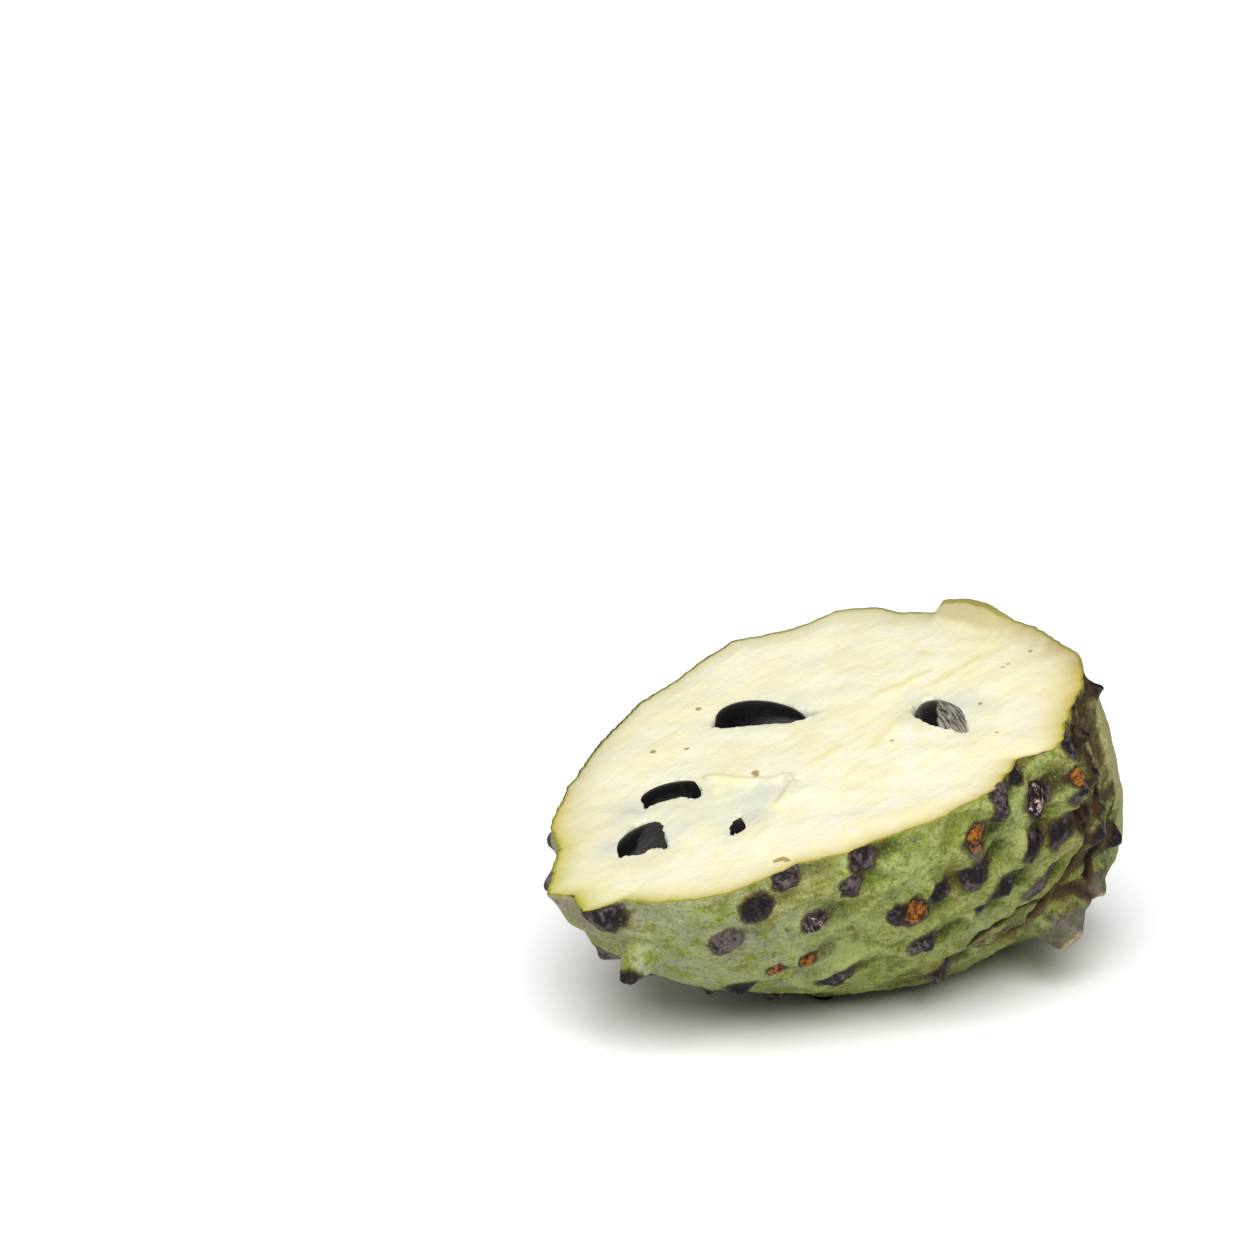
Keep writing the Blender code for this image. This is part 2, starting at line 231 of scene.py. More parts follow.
def gap_to_line(points, corners):
    """Distance of each point from a run of straight stretches through the corners."""
    nearest = np.full(len(points), np.inf)
    for start, end in zip(corners[:-1], corners[1:]):
        way = end - start
        along = np.clip((points - start) @ way / (way @ way), 0, 1)
        gap = np.linalg.norm(points - start - along[:, None] * way, axis=1)
        nearest = np.minimum(nearest, gap)
    return nearest


def line_share(points, corners, width):
    """Share that fades over the width on both sides of a line through the corners."""
    return np.exp(-(gap_to_line(points, corners) / width) ** 2)


def skin_line(run):
    """Places on the plain skin for pairs of alpha and psi."""
    return plain_skin(*np.array(run, dtype=float).T)


def rise_over(value, low, high):
    """Smooth rise from 0 at low to 1 at high."""
    share = np.clip((value - low) / (high - low), 0, 1)
    return share * share * (3 - 2 * share)


def hump(tipward, sideward, centre, length, width):
    """Round swelling centred a little tipward or stemward of a nub, in mm."""
    spread = ((tipward / mm - centre) / length) ** 2 + (sideward / mm / width) ** 2
    return np.exp(-spread)


def scale_shape(tipward, sideward, middle, height, radius, look):
    """Rise and lean of one tubercle's scale in mm, and the masks that it paints."""
    away = np.hypot(tipward, sideward)
    gap = np.hypot(tipward / np.interp(middle, *NUB_STRETCH), sideward) / (radius * mm)
    facing = rise_over(tipward / np.maximum(away, mm), *BLOOM_FACING)
    bloom = np.exp(-((away / mm - radius - BLOOM_GAP) / BLOOM_WIDTH) ** 2) * facing
    hollow_share = np.interp(middle, *HOLLOW_SHARE)
    hollow = hump(tipward, sideward, -radius - HOLLOW_GAP, *HOLLOW_SIZE) * hollow_share
    stain = hump(tipward, sideward, *STAIN_HUMP) * hollow_share
    base = hump(tipward, sideward, *BASE_HUMP)
    halo = np.exp(-(away / mm / (radius + HALO_REACH)) ** 2)
    if look in (SPINE, THORN):
        knob = np.clip(SPINE_FOOT - gap, 0, 1)
        rise = base * SPINE_BASE + knob * (height - SPINE_BASE)
        lean = knob * height * SPINE_LEAN
        dark = rise_over(knob, *SPINE_DARK)
        stain = stain * 0.5
        hollow = hollow * 0.3
    else:
        knob = np.exp(-(gap / KNOB_WIDTH) ** 2)
        rise = base * BASE_RISE + bloom * BLOOM_RISE - hollow * HOLLOW_DROP
        rise = rise + knob * (height - KNOB_SINK)
        lean = knob * height * KNOB_LEAN
        dark = rise_over(NUB_EDGE - gap, 0, NUB_FADE)
    painted = {"nub": dark, "halo": halo, "stain": stain, "bloom": bloom, "hollow": hollow}
    if look == THORN:
        painted["thorn"] = knob
        painted["nub"] = dark * 0
    if look in LOOK_MASKS:
        painted[LOOK_MASKS[look]] = dark
    return rise, lean, painted


# Folds where scales of the stem end overlap: depth, width and run of alpha and psi
FOLDS = (
    (2.2, 1.2, ((46, 0), (55, 5), (57, 10), (59, 13), (61, 15), (62, 18), (61, 22),
                (62, 25), (64, 29), (67, 33), (70, 36), (73, 39), (77, 45))),
    (1.4, 0.9, ((47, 3), (49, 8), (52, 13), (53, 17), (55, 22), (56, 27), (59, 32),
                (61, 35))),
    (0.9, 0.7, ((72, 35), (76, 34), (82, 36), (87, 41), (90, 46), (91, 53), (90, 62))),
)

# Brown weathered lines beside those folds
STREAKS = ((70, 41), (76, 41), (82, 43), (88, 48), (93, 55))
STREAK_WIDTH = 5.5 * mm

# Band of crowded dark scales between the folds of the stem end: its bounds in alpha
BAND_PSI = (0, 5, 10, 15, 25, 37, 44)
BAND_FROM = (26, 33, 40, 43, 46, 49, 51)
BAND_TO = (46, 55, 57, 61, 62, 69, 72)
BAND_END_PSI = (38, 50)
BAND_FADES = ((-1, 1.5), (-1.5, 1))

# Alpha over which the stem end, the tip and its beak begin
STEM_FADE = (42, 54)
TIP_FADE = (112, 150)
BEAK_FADE = (166, 175)

# Ridges between the cells of the scales, grooves of the band and ribs of the stem end
CELL_SHIFT = 3.0 * mm
CELL_STRETCH = (1.6, 2.4)
RIDGE_WIDTH = 1.9 * mm
RIDGE_HEIGHT = 0.9 * mm
BAND_GROOVE = 1.2 * mm
RIB_COUNT = 11
RIB_HEIGHT = 0.5 * mm
RIB_ANGLE = 20
RIB_SPREAD = 18
RIB_WAVER = 16
RIB_WAVER_SIZE = 20 * mm
RIB_BREAKS = 6 * mm

# Waver of lines and cells: size, amount and seed
LONG_WAVER = (5 * mm, 0.8 * mm, 1)
SHORT_WAVER = (1.6 * mm, 0.5 * mm, 2)
CELL_WAVER = (9 * mm, 2.2 * mm, 9)

# Unevenness of the skin: size, octaves, seed and height in mm
BROAD_GRAIN = (8 * mm, 2, 1, 0.4)
FIBRE_GRAIN = (2.4 * mm, 3, 11, 0.22)
FINE_GRAIN = (1.3 * mm, 3, 2, 0.13)
SWELL_WEIGHTS = (0.6, 1.0, 1.0)

# Near the rim the relief calms down to this share
RIM_CALM = 3.0 * mm
RIM_SHARE = 0.35

# How far the cut edge swells out or in at the near side and the far side: alpha and mm
NEAR_RIM = ((0, 0), (15, -0.3), (24, 0.4), (35, -0.4), (44, -1.8), (50, -2.0), (57, -1.1),
            (63, 0.2), (66, -2.1), (68, -3.6), (72, -2.5), (78, -0.3), (85, 0.3), (100, 1.1),
            (127, 0), (137, -1.3), (148, 1.3), (154, 1.9), (163, 0.9), (170, -0.8),
            (172.5, 1.3), (174.7, 2.4), (178, -0.2), (180, -0.8))
FAR_RIM = ((0, 0), (18, -1.5), (24, -1.4), (29, 1.5), (37, 2.8), (43, 0), (48, -0.4),
           (54, 0.9), (60, 3.6), (64, 2.5), (74, 1.8), (83, 1.5), (91, 3.1), (106, 2.7),
           (119, 2.5), (136, 1.4), (152, 0.3), (162, -1.8), (170, -1.4), (173, 0.2),
           (175.5, 1.8), (178, -0.2), (180, -0.8))
NEAR_RIM_REACH = 14
FAR_RIM_REACH = 25
RIM_RAGGED = 0.35 * mm
RAGGED_SIZE = 2.0 * mm
RAGGED_DEPTH = 1.5 * mm
RIM_LINE = 0.5 * mm

# Broad dents of the lower side: alpha, psi, radius and depth
DENTS = ((70, 60, 9.0 * mm, 3.0 * mm), (171, 60, 7.0 * mm, 1.2 * mm))

# Spacing of the skin's fibres lengthwise and crosswise
RUN_SCALE = 12 * mm
TURN_SCALE = 45 * mm

# Scar of the stem, and the flap of the cut face beside it
SCAR_RADIUS = 5.5 * mm
SCAR_DEPTH = 2.0 * mm
SCAR_SQUASH = 0.6
SCAR_FROM = 40 * mm
LOBE_MIDDLE = 56.0 * mm
LOBE_WIDTH = 5.2 * mm
LOBE_STEEP_END = (15.5 * mm, 13.0 * mm)
LOBE_SLOPING_END = (-6.0 * mm, 3.5 * mm)
LOBE_HEIGHT = 2.8 * mm
LOBE_DEPTH = 9.0 * mm


def lobe_rise(x, y):
    """Height of the flap beside the stem over the plane of the cut."""
    rise = rise_over(y, *LOBE_STEEP_END) * rise_over(y, *LOBE_SLOPING_END)
    return LOBE_HEIGHT * rise * np.exp(-((x - LOBE_MIDDLE) / LOBE_WIDTH) ** 4)


def scar_share(points):
    """Share of the stem scar at each point."""
    away = np.linalg.norm(points[:, 1:] * (1.0, SCAR_SQUASH), axis=1) / SCAR_RADIUS
    return np.exp(-away ** 2) * (points[:, 0] > SCAR_FROM)


def band_share(alpha, psi):
    """Share of the band of crowded scales at each point."""
    share = rise_over(alpha - np.interp(psi, BAND_PSI, BAND_FROM), *BAND_FADES[0])
    share *= 1 - rise_over(alpha - np.interp(psi, BAND_PSI, BAND_TO), *BAND_FADES[1])
    return share * (1 - rise_over(psi, *BAND_END_PSI))


def rim_shift(points, alpha, psi):
    """How far the cut edge and the skin just below it swell out or in."""
    near_edge = np.interp(alpha, *zip(*NEAR_RIM)) * np.exp(-(psi / NEAR_RIM_REACH) ** 2)
    far_edge = np.interp(alpha, *zip(*FAR_RIM)) * np.exp(-((180 - psi) / FAR_RIM_REACH) ** 2)
    ragged = grain(points, RAGGED_SIZE, 3, 12) * RIM_RAGGED
    return (near_edge + far_edge) * mm + ragged * np.exp(points[:, 2] / RAGGED_DEPTH)


def skin_relief(points, alpha, psi, tubercles):
    """Shift of each skin point, and the masks that its colours follow."""
    places, normals, tipwards, sidewards = skin_frames(tubercles[:, 0], tubercles[:, 1])
    draw = np.random.default_rng(SEED_OF_TWISTS)
    twist = np.radians(draw.uniform(*TWISTS, len(tubercles)))[:, None]
    tipwards, sidewards = (tipwards * np.cos(twist) + sidewards * np.sin(twist),
                           sidewards * np.cos(twist) - tipwards * np.sin(twist))
    outward = unit(points * SWELL_WEIGHTS)
    wavy = points + drift(points, *LONG_WAVER) + drift(points, *SHORT_WAVER)
    bent = wavy + drift(points, *CELL_WAVER)
    stem = 1 - rise_over(alpha, *STEM_FADE)
    tip = rise_over(alpha, *TIP_FADE)
    band = band_share(alpha, psi)
    stretch = CELL_STRETCH[0] + (CELL_STRETCH[1] - CELL_STRETCH[0]) * stem
    first, second = (np.full(len(points), np.inf) for _ in range(2))
    shift = np.zeros_like(points)
    masks = {name: np.zeros(len(points)) for name in
             ("nub", "pale", "stain", "halo", "rust", "crust", "thorn", "bloom", "hollow")}
    for index, (middle, _, height, radius, look) in enumerate(tubercles):
        offset = bent - places[index]
        tipward = offset @ tipwards[index]
        along = (tipward + CELL_SHIFT) / stretch
        cell = np.sqrt(along ** 2 + np.sum(offset ** 2, axis=1) - tipward ** 2)
        second = np.minimum(second, np.maximum(first, cell))
        first = np.minimum(first, cell)
        offset = wavy - places[index]
        near = np.linalg.norm(offset, axis=1) < SCALE_REACH
        rise, lean, painted = scale_shape(offset[near] @ tipwards[index],
                                          offset[near] @ sidewards[index],
                                          middle, height, radius, look)
        for name, share in painted.items():
            masks[name][near] = np.maximum(masks[name][near], share)
        shift[near] += rise[:, None] * mm * normals[index]
        shift[near] += lean[:, None] * mm * tipwards[index]
    edge = np.exp(-((second - first) / RIDGE_WIDTH) ** 2)
    calm = (1 - 0.5 * tip) * (1 - stem) * (1 - band)
    rib_turn = psi + RIB_WAVER * grain(points, RIB_WAVER_SIZE, 2, 5)
    rib = np.cos(np.radians(rib_turn * 2 * RIB_COUNT))
    rib_share = np.exp(-((alpha - RIB_ANGLE) / RIB_SPREAD) ** 2)
    swell = edge * (RIDGE_HEIGHT * calm - BAND_GROOVE * band) + rib * rib_share * RIB_HEIGHT
    folds = np.zeros(len(points))
    for depth, wide, run in FOLDS:
        fold = line_share(wavy, skin_line(run), wide * mm)
        swell = swell - fold * depth * mm
        folds = np.maximum(folds, fold)
    masks["run"] = np.radians(alpha) * RUN_SCALE
    masks["turn"] = np.radians(psi) * np.sin(np.radians(alpha)) * TURN_SCALE
    lengthwise = np.stack((masks["run"], masks["turn"], points[:, 2] * 0.3), axis=-1)
    swell = swell + waves((points, BROAD_GRAIN), (lengthwise, FIBRE_GRAIN),
                          (points, FINE_GRAIN))
    shift += outward * swell[:, None]
    free = rise_over(-points[:, 2], 0, RIM_CALM)
    shift *= (RIM_SHARE + (1 - RIM_SHARE) * free)[:, None]
    shift += outward * rim_shift(points, alpha, psi)[:, None]
    for middle, turn, radius, depth in DENTS:
        gap = np.linalg.norm(points - skin_line([(middle, turn)]), axis=1)
        shift -= outward * (depth * np.exp(-(gap / radius) ** 2))[:, None]
    broken = 0.6 + 0.6 * grain(points, RIB_BREAKS, 2, 15)
    rib_gap = (0.5 - rib * 0.5) ** 3 * rib_share * broken
    masks.update(band=band, tip=tip, stem=stem, beak=rise_over(alpha, *BEAK_FADE),
                 ridge=edge * calm, groove=np.maximum(edge * band * 0.9, rib_gap),
                 fold=folds, streaks=line_share(wavy, skin_line(STREAKS), STREAK_WIDTH))
    return shift, masks


# Share that each ring of the bowl keeps of the ring before, and its drop below it
BOWL_RINGS = ((0.955, 0.03), (0.97, 0.20), (0.90, 0.25), (0.72, 0.25), (0.45, 0.15))
ON_SPHERE = 0.999
ON_EQUATOR = 1e-5
LEAST_DROP = 0.1 * mm
FLOOR_LIFT = 0.05 * mm


def sphere_half(name, above):
    """One half of a fine sphere, closed by a bowl that hangs inside from its equator."""
    bpy.ops.object.select_all(action="DESELECT")
    bpy.ops.mesh.primitive_ico_sphere_add(subdivisions=SPHERE_SUBDIVISIONS, radius=1)
    half = bpy.context.active_object
    half.name = name
    bpy.ops.object.mode_set(mode="EDIT")
    bpy.ops.mesh.select_all(action="SELECT")
    bpy.ops.mesh.bisect(plane_co=(0, 0, 0), plane_no=(0, 0, 1), use_fill=True,
                        clear_outer=not above, clear_inner=above)
    for share, drop in BOWL_RINGS:
        bpy.ops.mesh.extrude_region_move()
        bpy.ops.transform.resize(value=(share, share, 1), center_override=(0, 0, 0))
        bpy.ops.transform.translate(value=(0, 0, -drop))
    bpy.ops.mesh.select_all(action="SELECT")
    bpy.ops.mesh.normals_make_consistent(inside=False)
    bpy.ops.object.mode_set(mode="OBJECT")
    return half


def points_of(piece):
    """The mesh's points as rows of an array."""
    flat = np.empty(len(piece.data.vertices) * 3)
    piece.data.vertices.foreach_get("co", flat)
    return flat.reshape(-1, 3)


def set_points(piece, points):
    piece.data.vertices.foreach_set("co", np.ascontiguousarray(points).ravel())
    piece.data.update()


def paint(piece, masks):
    """Masks with a value for each point, which the material reads by name."""
    for name, values in masks.items():
        layer = piece.data.attributes.new(name, "FLOAT", "POINT")
        layer.data.foreach_set("value", values.astype(np.float32))


def into_world(points):
    return points @ np.array(PLACEMENT.to_3x3()).T + np.array(CENTRE)


def parts_of(half):
    """Directions and share of the radius of a half's points; which lie on the sphere, and
    which of those on its equator, the rim."""
    spots = points_of(half)
    share = np.linalg.norm(spots, axis=1)
    directions = unit(spots)
    on_sphere = share > ON_SPHERE
    return directions, share, on_sphere, on_sphere & (np.abs(directions[:, 2]) < ON_EQUATOR)


tubercles = tubercle_rows()
skin = sphere_half("skin", above=False)
directions, share, outside, on_rim = parts_of(skin)
directions[on_rim, 2] = 0
directions = unit(directions)
alpha, psi = angles_of(directions)
plain = plain_skin(alpha, psi)
shift, masks = skin_relief(plain, alpha, psi, tubercles)
body = plain + shift * outside[:, None]
body[:, 2] = np.where(on_rim, 0, np.minimum(body[:, 2], -LEAST_DROP))
masks["rim"] = np.exp(plain[:, 2] / RIM_LINE)
masks["scar"] = scar_share(body)
body[:, 0] -= SCAR_DEPTH * masks["scar"]
body[:, 2] += lobe_rise(body[:, 0], body[:, 1]) * np.exp(body[:, 2] / LOBE_DEPTH)
world = into_world(body * np.where(outside, 1, share)[:, None])
world[:, 2] = np.maximum(world[:, 2], FLOOR_LIFT)
set_points(skin, world)
paint(skin, masks)


class Wire:
    """An output of a material's node; arithmetic on it adds Math nodes."""

    def __init__(self, finish, socket):
        self.finish = finish
        self.socket = socket

    def math(self, operation, *values):
        return self.finish.node("ShaderNodeMath", {"operation": operation},
                                dict(enumerate(values)))

    def __add__(self, other):
        return self.math("ADD", self, other)

    def __sub__(self, other):
        return self.math("SUBTRACT", self, other)

    def __rsub__(self, other):
        return self.math("SUBTRACT", other, self)

    def __mul__(self, other):
        return self.math("MULTIPLY", self, other)

    __radd__ = __add__
    __rmul__ = __mul__


class Finish:
    """A surface's material and the nodes that make it."""

    def __init__(self, name):
        self.material = bpy.data.materials.new(name)
        self.material.use_nodes = True
        self.tree = self.material.node_tree
        self.shader = self.tree.nodes["Principled BSDF"]

    def node(self, kind, settings=None, sockets=None, output=0):
        made = self.tree.nodes.new(kind)
        for name, value in (settings or {}).items():
            setattr(made, name, value)
        for key, value in (sockets or {}).items():
            self.feed(made.inputs[key], value)
        return Wire(self, made.outputs[output])

    def feed(self, socket, value):
        if isinstance(value, Wire):
            self.tree.links.new(value.socket, socket)
        else:
            socket.default_value = value

    def shade(self, **values):
        for name, value in values.items():
            self.feed(self.shader.inputs[name.replace("_", " ").title()], value)

    def mask(self, name):
        """A painted mask of the piece."""
        return self.node("ShaderNodeAttribute", {"attribute_name": name}, output="Fac")

    def noise(self, size, detail=3, rough=0.5, spot=None, warp=0.0):
        """Fractal noise of the given size, at the object's own coordinates or others."""
        spot = spot or self.node("ShaderNodeTexCoord", output="Object")
        return self.node("ShaderNodeTexNoise", None,
                         {"Vector": spot, "Scale": 1 / size, "Detail": detail,
                          "Roughness": rough, "Distortion": warp}, output="Fac")

    def step(self, value, low, high):
        """Smooth rise from 0 at low to 1 at high."""
        return self.node("ShaderNodeMapRange", {"interpolation_type": "SMOOTHSTEP"},
                         {"Value": value, "From Min": low, "From Max": high})

    def mix(self, share, first, second):
        return self.node("ShaderNodeMix", {"data_type": "RGBA"},
                         {"Factor": share, "A": first, "B": second}, output=2)

    def bump(self, height, distance, strength=1.0, below=None):
        sockets = {"Height": height, "Distance": distance, "Strength": strength}
        if below:
            sockets["Normal"] = below
        return self.node("ShaderNodeBump", None, sockets)


SAGE = (0.165, 0.190, 0.026, 1)
BLOOM = (0.265, 0.310, 0.100, 1)
LEAF = (0.095, 0.140, 0.006, 1)
TAN = (0.190, 0.135, 0.030, 1)
PALE_RIDGE = (0.340, 0.370, 0.130, 1)
HOLLOW_SHADE_OLIVE = (0.028, 0.028, 0.005, 1)
ASH = (0.320, 0.330, 0.225, 1)
LILAC_ASH = (0.240, 0.185, 0.180, 1)
STEM_DRAB = (0.310, 0.285, 0.130, 1)
NUB_BLACK = (0.010, 0.006, 0.007, 1)
NUB_BLOOM_AND_SHEEN = (0.130, 0.098, 0.098, 1)
PLUM = (0.070, 0.045, 0.024, 1)
UMBER = (0.045, 0.025, 0.008, 1)
RUST_DARK = (0.120, 0.030, 0.003, 1)
RUST = (0.310, 0.115, 0.010, 1)
CRUST = (0.580, 0.440, 0.390, 1)
THORN_GREY = (0.085, 0.085, 0.055, 1)
THORN_TIP = (0.420, 0.310, 0.190, 1)
CREASE_SHADE = (0.010, 0.006, 0.004, 1)
BAND_BROWN = (0.045, 0.030, 0.018, 1)
LICHEN = (0.330, 0.320, 0.190, 1)
RIM_GREEN = (0.210, 0.200, 0.022, 1)

rind = Finish("skin_finish")
broad = rind.noise(14 * mm, 3, 0.55)
tan_patch = rind.noise(9 * mm, 4, 0.65, warp=0.8)
patch = rind.noise(5 * mm, 4, 0.6, warp=0.6)
mottle = rind.noise(1.3 * mm, 4, 0.65)
speck = rind.noise(0.5 * mm, 2, 0.6)
scab = rind.noise(3.0 * mm, 5, 0.7, warp=0.2)
along_skin = rind.node("ShaderNodeCombineXYZ", None,
                       {"X": rind.mask("run"), "Y": rind.mask("turn"), "Z": patch * 0.002})
fibre = rind.noise(0.9 * mm, 4, 0.65, along_skin, 0.4)

# Ground of the skin: sage and bloom, with patches of tan, fresh green, drab and ash
colour = rind.mix(rind.step(broad + (mottle - 0.5) * 0.8, 0.40, 0.58), SAGE, BLOOM)
tan_share = tan_patch + (mottle - 0.5) * 0.4 + rind.mask("halo") * 0.12
colour = rind.mix(rind.step(tan_share, 0.54, 0.72) * 0.8, colour, TAN)
fresh = rind.step(patch + rind.mask("hollow") * 0.35, 0.50, 0.72)
colour = rind.mix(fresh * 0.9, colour, LEAF)
colour = rind.mix(rind.mask("stem") * 0.8, colour, STEM_DRAB)
ash_share = rind.mask("tip") * rind.step(patch * 0.6 + fibre * 0.4, 0.42, 0.56)
colour = rind.mix(ash_share * 0.75, colour, ASH)
colour = rind.mix(rind.mask("beak") * rind.step(mottle, 0.35, 0.60) * 0.85, colour, LILAC_ASH)

# Pale ridges, painted shade in the hollows, and the brown of the band, of scabs, specks and
# streaks
pale_share = rind.step(mottle * 0.5 + fibre * 0.5, 0.40, 0.58)
colour = rind.mix(rind.mask("bloom") * pale_share * 0.8, colour, BLOOM)
colour = rind.mix(rind.mask("ridge") * pale_share * 0.85, colour, PALE_RIDGE)
# Near-black olive in the hollows is painted shade, broken up by noise
hollow_shade = rind.mask("hollow") - rind.mask("band") * 0.3 + (mottle - 0.5) * 0.9
hollow_shade = rind.step(hollow_shade, 0.25, 0.95)
colour = rind.mix(hollow_shade * 0.80, colour, HOLLOW_SHADE_OLIVE)
brown_share = rind.step(patch * 0.5 + fibre * 0.5 + rind.mask("halo") * 0.1, 0.54, 0.64)
colour = rind.mix(rind.mask("band") * brown_share * 0.95, colour, BAND_BROWN)
ageing = rind.mask("band") * 0.12 + rind.mask("hollow") * 0.06 + rind.mask("ridge") * 0.03
colour = rind.mix(rind.step(scab + ageing, 0.56, 0.76) * 0.7, colour, UMBER)
colour = rind.mix(rind.step(speck, 0.56, 0.70) * 0.45, colour, UMBER)
colour = rind.mix(rind.step(speck, 0.46, 0.34) * 0.35, colour, PALE_RIDGE)
streak = rind.mask("streaks") * rind.step(scab * 0.5 + patch * 0.5, 0.42, 0.54)
colour = rind.mix(streak * 0.8, colour, UMBER)
flaky = rind.mask("streaks") * rind.step(speck * 0.5 + mottle * 0.5, 0.52, 0.62)
colour = rind.mix(flaky * 0.5, colour, LICHEN)

# Thorns, and the nubs with the stain round them; the lilac on the nubs is partly their bloom,
# partly painted sheen
thorn = rind.mask("thorn")
thorn_share = thorn + (patch - 0.5) * 0.5 + (mottle - 0.5) * 0.6
thorn_tone = rind.mix(rind.step(mottle * 0.6 + fibre * 0.4, 0.46, 0.60) * 0.55, THORN_GREY,
                      LILAC_ASH)
colour = rind.mix(rind.step(thorn_share, 0.15, 0.60) * 0.9, colour, thorn_tone)
colour = rind.mix(rind.step(thorn + (speck - 0.5) * 0.2, 0.90, 1.00) * 0.9, colour, THORN_TIP)
stain = rind.mask("stain") - rind.mask("band") * 0.35 + (mottle - 0.5) * 0.6
stain = stain + (patch - 0.5) * 0.8
colour = rind.mix(rind.step(stain, 0.15, 1.0) * 0.8, colour, PLUM)
ragged_nub = rind.mask("nub") + (mottle - 0.5) * 1.3 + (patch - 0.5) * 0.5
colour = rind.mix(rind.step(ragged_nub, 0.0, 0.5) * 0.8, colour, UMBER)
# Lilac flecks on the nubs: partly their bloom, partly painted sheen
nub_grain = speck * 0.15 + mottle * 0.45 + patch * 0.4 + rind.mask("pale") * 0.06
nub_tone = rind.mix(rind.step(nub_grain, 0.49, 0.64), NUB_BLACK, NUB_BLOOM_AND_SHEEN)
nub_share = rind.step(ragged_nub, 0.30, 0.85)
colour = rind.mix(nub_share, colour, nub_tone)
rust_share = rind.step(rind.mask("rust") + (mottle - 0.5) * 1.8, 0.75, 1.05)
rust_tone = rind.mix(rind.step(speck * 0.4 + mottle * 0.6, 0.44, 0.58), RUST_DARK, RUST)
colour = rind.mix(rust_share * 0.95, colour, rust_tone)
crust_share = rind.step(rind.mask("crust") * 0.6 + mottle * 0.6 + speck * 0.4, 1.11, 1.22)
colour = rind.mix(crust_share * 0.9, colour, CRUST)

# Folds and grooves: rust and umber along them and near-black painted shade in their depths;
# the stem scar and the green line of the rim
crack_and_shade = rind.mask("fold") + rind.mask("groove") * 0.7 + (mottle - 0.5) * 0.7
rusty_edge = rind.step(crack_and_shade + (fibre - 0.5) * 1.2, 0.10, 0.45)
colour = rind.mix(rusty_edge * rind.mask("fold") * 0.8, colour, RUST_DARK)
colour = rind.mix(rind.step(crack_and_shade, 0.25, 0.5) * 0.8, colour, UMBER)
# Near-black painted shade where the folds and grooves are deepest
colour = rind.mix(rind.step(crack_and_shade, 0.50, 0.85), colour, CREASE_SHADE)
colour = rind.mix(rind.step(rind.mask("scar"), 0.15, 0.5), colour, UMBER)
rim_share = rind.step(rind.mask("rim") + (mottle - 0.5) * 0.5, 0.35, 0.95)
green_left = 0.7 - rind.mask("nub") * 1.5 - rind.mask("band") * 0.6
colour = rind.mix(rim_share * green_left, colour, RIM_GREEN)
roughness = 0.60 - nub_share * 0.25 + speck * 0.10
fine = rind.bump(speck * 0.5 + fibre * 0.5, 0.25 * mm, 0.8)
coarse = rind.bump(rind.noise(1.8 * mm, 5, 0.6), 0.8 * mm, 0.8, below=fine)
rind.shade(base_color=colour, roughness=roughness, normal=coarse)
rind.shader.inputs["Specular IOR Level"].default_value = 0.12
skin.data.materials.append(rind.material)
skin.data.shade_smooth()
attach(skin, "root")
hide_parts("fruit_half")

# Cut face of the flesh.
# The knife laid it open along the core: pale, moist, fibrous flesh that runs out to the
# green edge, torn at the pockets where the seeds sit.
POCKETS = (
    ((-0.9, 22.3), (2.5, 25.4), (6.4, 25.8), (9.8, 23.4), (12.0, 17.6), (12.2, 12.6),
     (12.8, 8.6), (9.2, 9.3), (5.1, 13.8), (1.8, 18.3)),
    ((20.6, -8.6), (24.4, -6.6), (27.0, -8.4), (26.2, -12.4), (23.6, -18.6), (20.2, -23.0),
     (19.3, -21.2), (20.2, -17.2), (19.2, -14.6)),
    ((-27.9, 11.9), (-25.8, 13.9), (-22.5, 15.5), (-19.1, 14.6), (-17.4, 12.5), (-17.4, 9.4),
     (-18.6, 6.6), (-20.8, 5.5), (-21.6, 8.3), (-22.8, 9.1), (-24.8, 10.8)),
    ((-41.7, 3.2), (-38.3, 6.4), (-35.4, 8.2), (-33.0, 8.8), (-30.6, 7.4), (-31.0, 4.4),
     (-32.5, 1.2), (-34.1, -1.4), (-35.4, -2.5), (-36.0, -0.6), (-37.0, 0.6), (-38.8, 0.9),
     (-39.0, 3.6), (-40.4, 2.9)),
    ((-26.7, -10.0), (-24.2, -7.8), (-20.9, -6.3), (-23.4, -8.5)),
)
POCKET_DEPTH = 4.5 * mm
POCKET_WALL = (-0.1 * mm, 0.7 * mm)
LIP_DROP = 0.5 * mm
LIP_REACH = 2.5 * mm
SHADE_REACH = 1.3 * mm
FLAKES_HEIGHT = 0.35 * mm
FLAKES_GAP = 0.5 * mm
FLAKES_WIDTH = 0.6 * mm
FLAKES_SIZE = 0.9 * mm
EDGE_SAMPLES = 4096

# Unevenness of the cut face: size, octaves, seed and height in mm
FACE_SWELL = (14 * mm, 2, 3, 0.6)
FACE_BUMPS = (5 * mm, 2, 8, 0.16)
FACE_FIBRES = (1.8 * mm, 3, 4, 0.08)
FIBRE_STRETCH = (0.35, 1.0, 1.0)
TORN_WAVER = (1.3 * mm, 0.30 * mm, 6)
FACE_CALM = 4 * mm
RIM_DIP = 0.25 * mm
RIM_DIP_AT = 2.5 * mm

